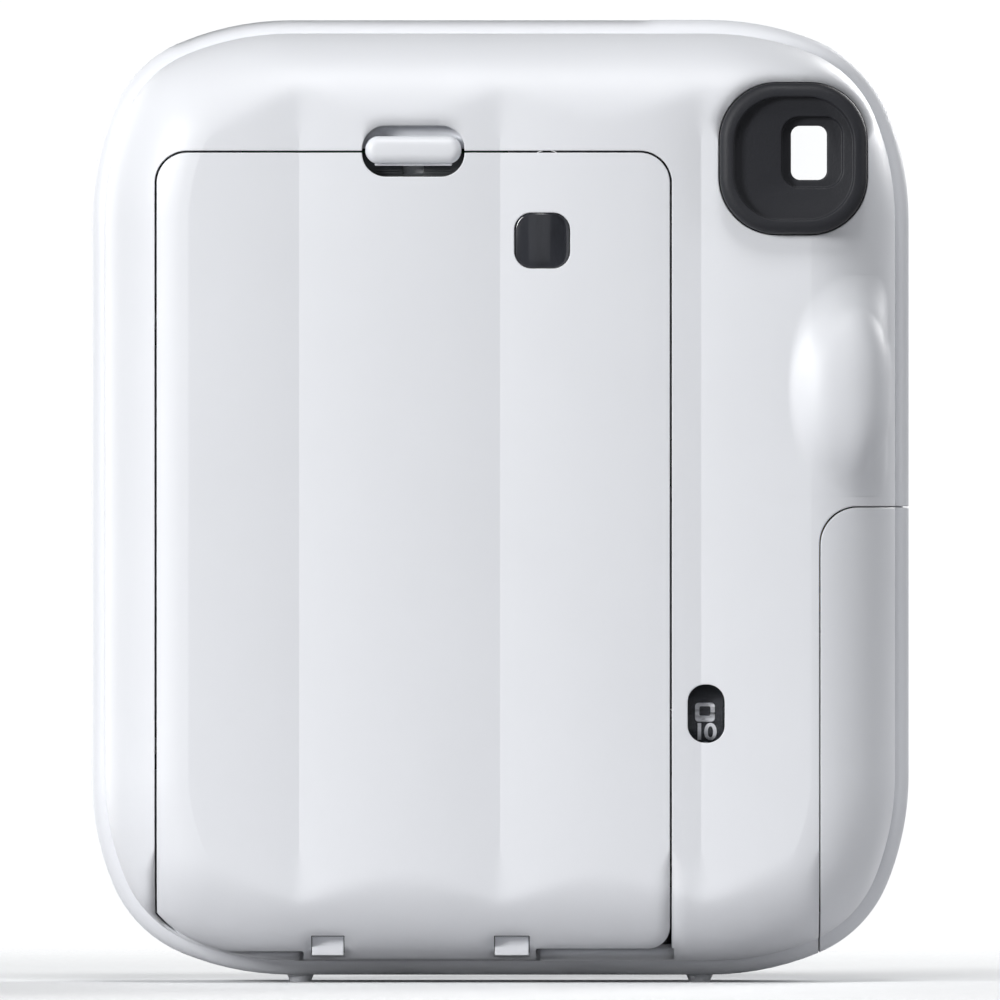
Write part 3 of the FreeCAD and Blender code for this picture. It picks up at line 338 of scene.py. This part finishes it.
def relief(tree, height, depth, shader, edge=0.0, shoulder=None):
    """Bump, depth millimetres deep, over edges rounded by edge millimetres or by a shoulder field."""
    bump = tree.nodes.new("ShaderNodeBump")
    bump.inputs["Distance"].default_value = depth * MM
    tree.links.new(height, bump.inputs["Height"])
    if edge:
        rounding = tree.nodes.new("ShaderNodeBevel")
        rounding.samples = 6
        rounding.inputs["Radius"].default_value = edge * MM
        if shoulder:
            tree.links.new(shoulder, rounding.inputs["Radius"])
        tree.links.new(rounding.outputs["Normal"], bump.inputs["Normal"])
    tree.links.new(bump.outputs["Normal"], shader.inputs["Normal"])


# %% Moulded plastic
def moulded(
    name, colour, roughness, grain=0.3, depth=0.006, edge=0.2, cloud=0.03, level=0.5, shoulder=None
):
    """Injection-moulded plastic: fine spark grain, cloudy colour and softly rounded edges."""
    finish, tree, shader, place = new_finish(name)
    slow = noise(tree, place, 21.0, detail=3)
    darker = [c * (1 - cloud) for c in colour]
    lighter = [min(1.0, c * (1 + cloud * 0.6)) for c in colour]
    clouded = two_tone(tree, spread(tree, slow.outputs["Fac"], 0, 1), darker, lighter)
    tree.links.new(clouded, shader.inputs["Base Color"])
    smudge = noise(tree, place, 9.0, detail=4)
    uneven = spread(tree, smudge.outputs["Fac"], roughness * 0.93, roughness * 1.08)
    tree.links.new(uneven, shader.inputs["Roughness"])
    fine = noise(tree, place, grain, detail=2, rough=0.6)
    field = shoulder(tree, place) if shoulder else None
    relief(tree, fine.outputs["Fac"], depth, shader, edge, field)
    shader.inputs["Specular IOR Level"].default_value = level
    return finish


def soft_shoulders(tree, place):
    """Edge rounding in metres: small in the middle, broad where a cover rolls over at top and foot."""
    parts = tree.nodes.new("ShaderNodeSeparateXYZ")
    tree.links.new(place.outputs["Object"], parts.inputs["Vector"])
    top = spread(tree, parts.outputs["Z"], 0.28 * MM, 3.0 * MM, 107.0 * MM, 109.5 * MM)
    foot = spread(tree, parts.outputs["Z"], 3.0 * MM, 0.28 * MM, 14.0 * MM, 17.0 * MM)
    larger = tree.nodes.new("ShaderNodeMath")
    larger.operation = "MAXIMUM"
    tree.links.new(top, larger.inputs[0])
    tree.links.new(foot, larger.inputs[1])
    return larger.outputs["Value"]


COOL_WHITE = (0.80, 0.815, 0.85)
white_shell = moulded("white_shell", COOL_WHITE, 0.42, grain=0.35, depth=0.005, edge=0.28, cloud=0.012)
white_trim = moulded(
    "white_trim", (0.78, 0.79, 0.82), 0.38, grain=0.3, depth=0.004, edge=0.25, cloud=0.012
)
ring_grey = moulded("ring_grey", (0.40, 0.42, 0.45), 0.45, grain=0.3, depth=0.008, edge=0.2)
satin_black = moulded(
    "satin_black", (0.022, 0.023, 0.028), 0.55, grain=0.34, depth=0.03, edge=0.15, level=0.35
)
matt_black = moulded("matt_black", (0.012, 0.012, 0.014), 0.75, grain=0.4, depth=0.02, edge=0.15)
latch_grey = moulded("latch_grey", (0.045, 0.048, 0.052), 0.5, grain=0.3, depth=0.01, edge=0.1)
gear_plastic = moulded("gear_plastic", (0.72, 0.69, 0.60), 0.4, edge=0.08)
white_back = moulded("white_back", COOL_WHITE, 0.42, grain=0.35, depth=0.005, edge=0.28, cloud=0.012,
                     shoulder=soft_shoulders)
print("plastics ready")


# %% [markdown]
# ## Clear parts
# The finder windows are flat and must show what is behind the camera, so they are a mix of
# transparency and gloss instead of refracting glass. The smoked windows are dark plastic with a clear
# coat. The lens glass has a thin coloured film, as coated lenses do.

# %% Windows and glass
def clear_window(name, tint, see_through):
    """Flat clear plastic: mostly transparent, with a glossy face."""
    finish, tree, shader, place = new_finish(name)
    shader.inputs["Base Color"].default_value = (*tint, 1)
    shader.inputs["Roughness"].default_value = 0.04
    shader.inputs["Alpha"].default_value = 1 - see_through
    haze = noise(tree, place, 2.5, detail=3)
    relief(tree, haze.outputs["Fac"], 0.001, shader)
    return finish


def smoked_window(name, colour, roughness=0.12, dust=0.15):
    """Dark see-through plastic, shown as a deep glossy colour with faint smears."""
    finish, tree, shader, place = new_finish(name)
    smear = noise(tree, place, 1.6, detail=4, stretch=(1.0, 1.0, 0.25))
    deep = [c * 0.7 for c in colour]
    smeared = two_tone(tree, spread(tree, smear.outputs["Fac"], 0, 1), deep, colour)
    tree.links.new(smeared, shader.inputs["Base Color"])
    dusty = spread(tree, smear.outputs["Fac"], roughness, roughness + dust * 0.5)
    tree.links.new(dusty, shader.inputs["Roughness"])
    shader.inputs["Coat Weight"].default_value = 0.6
    shader.inputs["Coat Roughness"].default_value = 0.05
    return finish


def coated_glass(name, film, tint, see_through):
    """Lens glass with an anti-reflection film."""
    finish, tree, shader, place = new_finish(name)
    shader.inputs["Base Color"].default_value = (*tint, 1)
    shader.inputs["Roughness"].default_value = 0.02
    shader.inputs["Alpha"].default_value = 1 - see_through
    shader.inputs["Thin Film Thickness"].default_value = film
    shader.inputs["Thin Film IOR"].default_value = 1.38
    ripple = noise(tree, place, 3.0)
    relief(tree, ripple.outputs["Fac"], 0.0008, shader)
    return finish


window_clear = clear_window("window_clear", (0.9, 0.95, 1.0), 0.985)
window_dark = smoked_window("window_dark", (0.034, 0.036, 0.044))
lens_glass = coated_glass("lens_glass", 320, (0.10, 0.13, 0.17), 0.60)
sensor_amber = smoked_window("sensor_amber", (0.05, 0.012, 0.012))
flash_clear = clear_window("flash_clear", (0.85, 0.88, 0.90), 0.45)
print("clear parts ready")


# %% [markdown]
# ## Metals, boards and small parts
# The rollers and pins are turned steel with fine rings around them, the reflector is vacuum-plated,
# and the circuit board has a lacquer over faint copper tracks.

# %% Metals and electrical finishes
def turned_metal(name, colour, roughness, axis_stretch=(12, 1, 1), metal=1.0):
    """Metal with fine tool marks, stretched along one axis."""
    finish, tree, shader, place = new_finish(name)
    marks = noise(tree, place, 0.8, detail=3, stretch=axis_stretch)
    toned = two_tone(tree, marks.outputs["Fac"], [c * 0.85 for c in colour], colour)
    tree.links.new(toned, shader.inputs["Base Color"])
    scored = spread(tree, marks.outputs["Fac"], roughness * 0.8, roughness * 1.25)
    tree.links.new(scored, shader.inputs["Roughness"])
    shader.inputs["Metallic"].default_value = metal
    relief(tree, marks.outputs["Fac"], 0.003, shader, 0.08)
    return finish


def board_finish():
    """Green solder lacquer with tracks that show through."""
    finish, tree, shader, place = new_finish("circuit_board")
    tracks = tree.nodes.new("ShaderNodeTexBrick")
    tracks.inputs["Scale"].default_value = 1 / (9 * MM)
    tracks.inputs["Mortar Size"].default_value = 0.02
    tracks.inputs["Color1"].default_value = (0.012, 0.095, 0.045, 1)
    tracks.inputs["Color2"].default_value = (0.015, 0.115, 0.055, 1)
    tracks.inputs["Mortar"].default_value = (0.06, 0.24, 0.10, 1)
    turn = tree.nodes.new("ShaderNodeMapping")
    turn.inputs["Rotation"].default_value = (math.pi / 2, 0, 0)
    tree.links.new(place.outputs["Object"], turn.inputs["Vector"])
    tree.links.new(turn.outputs["Vector"], tracks.inputs["Vector"])
    tree.links.new(tracks.outputs["Color"], shader.inputs["Base Color"])
    relief(tree, tracks.outputs["Fac"], 0.02, shader)
    shader.inputs["Roughness"].default_value = 0.3
    return finish


def wrap_finish():
    """A cell's printed sleeve: a metallic copper band over dark grey."""
    finish, tree, shader, place = new_finish("cell_wrap")
    parts = tree.nodes.new("ShaderNodeSeparateXYZ")
    tree.links.new(place.outputs["Object"], parts.inputs["Vector"])
    band = spread(tree, parts.outputs["Z"], 0, 1, 47.0 * MM, 47.3 * MM)
    sleeve = two_tone(tree, band, (0.035, 0.038, 0.042), (0.45, 0.22, 0.08))
    tree.links.new(sleeve, shader.inputs["Base Color"])
    scuffs = noise(tree, place, 4.0, detail=4)
    tree.links.new(spread(tree, scuffs.outputs["Fac"], 0.25, 0.4), shader.inputs["Roughness"])
    shader.inputs["Metallic"].default_value = 0.7
    return finish


steel = turned_metal("steel", (0.62, 0.62, 0.64), 0.28)
plated_can = turned_metal("plated_can", (0.66, 0.66, 0.65), 0.35)
reflector = turned_metal("reflector", (0.86, 0.87, 0.88), 0.12, axis_stretch=(1, 1, 1))
mirror = turned_metal("mirror", (0.88, 0.89, 0.91), 0.03, axis_stretch=(0.2, 0.2, 0.2))
capacitor_sleeve = moulded("capacitor_sleeve", (0.02, 0.03, 0.09), 0.25, edge=0.3)
circuit_board = board_finish()
cell_wrap = wrap_finish()
print("metals and boards ready")

# %% Give every CAD node the finish of its slot
FINISHES = {
    "shell": white_shell,
    "trim_white": white_trim,
    "ring_grey": ring_grey,
    "black_satin": satin_black,
    "black_matte": matt_black,
    "latch_grey": latch_grey,
    "window_dark": window_dark,
    "window_clear": window_clear,
    "flash_diffuser": flash_clear,
    "lens_glass": lens_glass,
    "sensor_amber": sensor_amber,
    "sensor_black": matt_black,
    "mirror": mirror,
    "reflector": reflector,
    "steel": steel,
    "gear_plastic": gear_plastic,
    "counter_ink": matt_black,
    "cell_wrap": cell_wrap,
    "motor_can": plated_can,
    "capacitor_can": capacitor_sleeve,
    "circuit_board": circuit_board,
}
for row in frame["record"]["subparts"]:
    cad = nodes[row["node"]]
    cad.data.materials.clear()
    cad.data.materials.append(FINISHES[row["material_slot"]])
for name in ("rear_cover", "front_cover", "film_door"):
    nodes[name].data.materials.clear()
    nodes[name].data.materials.append(white_back)

# %% [markdown]
# ## Eyepiece
# A soft black cup stands round the finder window: a rolled rim, a shallow dish, a deeper pocket and
# the window itself, off centre. It is one moulded piece, so it starts as one rounded block, and each
# hollow is carved out of it with a smaller rounded block before the edges are softened.

# %% Eyepiece cup
EYE = (27.85, 46.55, -33.3, -23.5, 95.0, 114.2)
eyepiece = rounded_block("eyepiece_cup", EYE, 7.3, rear_rim=1.25, segments=14)
carve(eyepiece, rounded_block("dish", (29.65, 44.85, -40, -32.1, 96.8, 112.4), 5.9, segments=14))
carve(eyepiece, rounded_block("pocket", (35.7, 43.45, -40, -31.0, 100.9, 109.9), 2.3))
carve(eyepiece, rounded_block("sight", (36.9, 41.45, -40, -20, 101.9, 108.75), 1.15))
carve(eyepiece, rounded_block("lens_seat", (35.0, 43.4, -30.0, -20, 100.5, 110.1), 1.0))
carve(eyepiece, rounded_block("skirt", (29.0, 45.4, -27.4, -20, 96.2, 113.0), 5.5))
soften(eyepiece, 0.22, segments=3)
fit(eyepiece, "camera", "black_satin", satin_black, "eyepiece")

# %% [markdown]
# ## Door latch
# The latch is a small pillow-shaped bar that slides down in a long recess. Below it a dark ribbed
# bed shows. The bar has a thin lip along its lower edge, and a stem that reaches through the bed to
# its hook.

# %% Latch bar and bed
BAR = (-17.1, -4.9, -31.7, -29.0, 103.95, 107.45)
bar = rounded_block("latch_bar", BAR, 1.7, rear_rim=1.2, front_rim=0.2)
lip = rounded_block("lip", (-15.9, -6.1, -30.4, -29.1, 103.7, 104.5), 0.15)
stem = rounded_block("stem", (-12.0, -10.0, -29.2, -27.0, 103.75, 104.7), 0.1)
hook = rounded_block("hook", (-15.0, -7.0, -27.1, -26.2, 102.6, 105.2), 0.4)
for part in (lip, stem, hook):
    weld_on(bar, part)
soften(bar, 0.1)
fit(bar, "door_latch", "shell", white_shell, "latch_slider")

bed = rounded_block("latch_bed_ribbed", (-19.0, -3.0, -28.6, -27.7, 100.3, 105.25), 0.2)
carve(bed, rounded_block("slot", (-12.3, -9.7, -30, -26, 102.75, 104.95), 0.2))
ribs = []
for z in (102.35, 102.7, 103.05):
    for x0, x1 in ((-15.9, -12.4), (-9.6, -6.1)):
        ribs.append(rounded_block("rib", (x0, x1, -28.85, -28.5, z, z + 0.18), 0))
bed = join(bed, *ribs)
soften(bed, 0.05)
fit(bed, "film_door", "latch_grey", latch_grey, "latch_bed")


# %% [markdown]
# ## Thumb rest
# The grip side of the back swells into a long soft mound. It rises gently out of the back on the left
# and falls steeply on the right, where the casing rounds away. It is a fine grid laid over the back:
# each point takes the height of whichever stands prouder, the back or the mound, with a smooth blend
# between the two. Edit-mode operators can't give a blend whose width changes from side to side, so
# the points are placed by a formula.

# %% Thumb rest
PATCH_X, PATCH_Z, PATCH_WIDTH, PATCH_HEIGHT = 42.7, 75.8, 14.6, 28.0
PATCH_LIFT, PATCH_LIMIT = 0.02, -33.28
PITCH, RISE = 25.5, 0.9
CREST, CREST_X = -31.2, 38.25
ROUND_START, ROUND_RADIUS, ROUND_CENTRE = 38.2, 12.0, -19.26
MOUND_X, MOUND_Z, MOUND_CREST = 43.0, 75.2, -33.15
MOUND_HALF_WIDTH, MOUND_HALF_HEIGHT, MOUND_DEPTH, MOUND_FULLNESS = 6.5, 12.5, 7.0, 2.5
CORE_X, CORE_Z, CORE_AXIS, CORE_RING, CORE_ROUND = 42.5, 75.3, -8.5, 18.0, 6.65
BLEND_MIDDLE, BLEND_CHANGE, CORE_BLEND = 1.4, 0.5, 0.5
CUSHION_RADIUS = ((PITCH / 2) ** 2 + RISE**2) / (2 * RISE)


def back_surface(x):
    """Depth of the cushioned back at x, in millimetres."""
    cushion = CREST + CUSHION_RADIUS - math.sqrt(CUSHION_RADIUS**2 - (x - CREST_X) ** 2)
    over = max(0.0, x - ROUND_START)
    side = ROUND_CENTRE - math.sqrt(max(ROUND_RADIUS**2 - over**2, 0.0))
    return max(cushion, side)


def mound_surface(x, z):
    """Depth of the mound, an egg-shaped dome, or a far value outside it."""
    across = abs(x - MOUND_X) / MOUND_HALF_WIDTH
    up = abs(z - MOUND_Z) / MOUND_HALF_HEIGHT
    r = across**MOUND_FULLNESS + up**MOUND_FULLNESS
    return MOUND_CREST + MOUND_DEPTH * (1 - math.sqrt(max(1 - r, 0.0))) + 30 * max(r - 1, 0.0)


def core_surface(x, z):
    """Depth of the moulded core under the mound, a slice of a fat ring."""
    tube = CORE_RING + math.sqrt(max(CORE_ROUND**2 - (x - CORE_X) ** 2, 0.0))
    reach = math.sqrt(max(tube**2 - (z - CORE_Z) ** 2, 0.0))
    return CORE_AXIS - reach if abs(x - CORE_X) < CORE_ROUND else 0.0


def blended(first, second, reach):
    """The prouder of two depths, with a smooth blend where they are close."""
    mix = max(reach - abs(first - second), 0.0) / reach
    return min(first, second) - mix * mix * reach / 4


bpy.ops.object.select_all(action="DESELECT")
bpy.ops.mesh.primitive_grid_add(
    x_subdivisions=96,
    y_subdivisions=150,
    size=1,
    location=(PATCH_X * MM, 0, PATCH_Z * MM),
    rotation=(math.pi / 2, 0, 0),
)
thumb = bpy.context.object
thumb.name = "thumb_rest"
thumb.scale = (PATCH_WIDTH * MM, PATCH_HEIGHT * MM, 1)
settle(thumb)
for vertex in thumb.data.vertices:
    x, z = vertex.co.x / MM, vertex.co.z / MM
    side = (x - MOUND_X) / MOUND_HALF_WIDTH - (z - MOUND_Z) / MOUND_HALF_HEIGHT
    reach = BLEND_MIDDLE - BLEND_CHANGE * max(-1.0, min(1.0, side))
    base = back_surface(x) - PATCH_LIFT
    swell = blended(mound_surface(x, z), core_surface(x, z), CORE_BLEND)
    vertex.co.y = max(blended(base, swell, reach), PATCH_LIMIT) * MM
only(thumb)
bpy.ops.object.shade_smooth()
fit(thumb, "camera", "shell", white_shell)

# %% [markdown]
# ## Hinge knuckles
# The film door's barrel turns on two fixed knuckles that show through small windows in the door's
# lower edge. They are the same white as the casing there.

# %% Hinge knuckles
knuckles = []
for x0, x1 in ((-23.85, -19.85), (-0.65, 3.65)):
    knuckles.append(rounded_block("knuckle", (x0, x1, -25.6, -24.9, 3.5, 5.9), 0))
knuckle_pair = join(*knuckles)
knuckle_pair.name = "hinge_knuckles"
only(knuckle_pair)
bpy.ops.object.shade_flat()
fit(knuckle_pair, "camera", "shell", white_shell)

# %% [markdown]
# ## Film window
# The door's small window tells whether a pack is loaded. It is dark smoked plastic, slightly barrel
# shaped across its width. A rounded block is subdivided, and its rear face is bent into the barrel by
# moving its points along a circle.

# %% Film window
PANE = (1.85, 8.85, -30.9, -27.8, 90.7, 97.7)
pane = rounded_block("film_window_pane", PANE, 2.15, rear_rim=0.25)
only(pane)
bpy.ops.object.mode_set(mode="EDIT")
for step in range(1, 14):
    bpy.ops.mesh.select_all(action="SELECT")
    bpy.ops.mesh.bisect(plane_co=((PANE[0] + step * 0.5) * MM, 0, 0), plane_no=(1, 0, 0))
bpy.ops.object.mode_set(mode="OBJECT")
BARREL = 9.0
for vertex in pane.data.vertices:
    if vertex.co.y / MM < -29.0:
        offset = vertex.co.x / MM - (PANE[0] + PANE[1]) / 2
        vertex.co.y += (BARREL - math.sqrt(BARREL**2 - offset**2)) * MM * 0.8
soften(pane, 0.08)
fit(pane, "film_door", "window_dark", window_dark, "film_window")

# %% [markdown]
# ## Film counter
# A dark drum turns behind a small window and shows how many frames are left. Its marks are pale: a
# small rounded frame for the start of a pack, then the numbers. The numbers are text turned into a
# mesh, wrapped on the drum by moving each point to the drum's circle.

# %% Counter marks
drum_low, drum_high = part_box("film_counter_drum")
DRUM_CENTRE = (drum_low + drum_high) / 2
DRUM_RADIUS = (drum_high.y - drum_low.y) / 2


def wrap_on_drum(piece, angle, proud=0.03):
    """Wraps a flat mark, drawn in X and Z about the origin, onto the drum's rear side."""
    for vertex in piece.data.vertices:
        turn = angle + vertex.co.z / DRUM_RADIUS
        radius = DRUM_RADIUS + proud * MM
        vertex.co = (
            DRUM_CENTRE.x + vertex.co.x,
            DRUM_CENTRE.y - radius * math.cos(turn),
            DRUM_CENTRE.z + radius * math.sin(turn),
        )


def slice_across(piece, reach, step):
    """Cuts level lines across a piece, so that it can bend round the drum."""
    only(piece)
    bpy.ops.object.mode_set(mode="EDIT")
    for i in range(int(2 * reach / step) + 1):
        bpy.ops.mesh.select_all(action="SELECT")
        bpy.ops.mesh.bisect(plane_co=(0, 0, (i * step - reach + 0.013) * MM), plane_no=(0, 0, 1))
    bpy.ops.object.mode_set(mode="OBJECT")


def number_mark(value):
    """A number as a flat mesh in X and Z, cut fine enough to bend."""
    bpy.ops.object.select_all(action="DESELECT")
    bpy.ops.object.text_add(rotation=(math.pi / 2, 0, 0))
    text = bpy.context.object
    text.data.body = str(value)
    text.data.size = 3.3 * MM
    text.data.offset = 0.07 * MM
    text.data.space_character = 0.85
    text.data.align_x = "CENTER"
    text.data.align_y = "CENTER"
    bpy.ops.object.convert(target="MESH")
    settle(text)
    slice_across(text, 1.4, 0.2)
    return text


def frame_mark():
    """The start mark: a small rounded picture frame with a window in it."""
    plate = rounded_block("plate", (-1.25, 1.25, -0.01, 0.01, -1.2, 1.2), 0.45, segments=5)
    carve(plate, rounded_block("opening", (-0.7, 0.7, -1, 1, -0.45, 0.75), 0.2, segments=3))
    slice_across(plate, 1.4, 0.2)
    return plate


MARK_STEP = math.radians(30)
FIRST_MARK = math.radians(2)
marks = []
start = frame_mark()
wrap_on_drum(start, FIRST_MARK)
marks.append(start)
for i, value in enumerate((10, 9, 8, 7, 6, 5, 4, 3, 2, 1), 1):
    mark = number_mark(value)
    wrap_on_drum(mark, FIRST_MARK - i * MARK_STEP)
    marks.append(mark)
counter_marks = join(*marks)
counter_marks.name = "counter_marks"
print(len(marks), "marks on the counter drum")

# %% Counter ink and drum
pale_ink = moulded("pale_ink", (0.95, 0.96, 1.0), 0.5, edge=0.0, depth=0.002)
fit(counter_marks, "counter_drum", "counter_ink", pale_ink)
counter_glass = clear_window("counter_glass", (0.10, 0.11, 0.13), 0.95)
nodes["counter_window"].data.materials.clear()
nodes["counter_window"].data.materials.append(counter_glass)
drum_ink = moulded("drum_ink", (0.022, 0.023, 0.027), 0.5)
nodes["film_counter_drum"].data.materials.clear()
nodes["film_counter_drum"].data.materials.append(drum_ink)
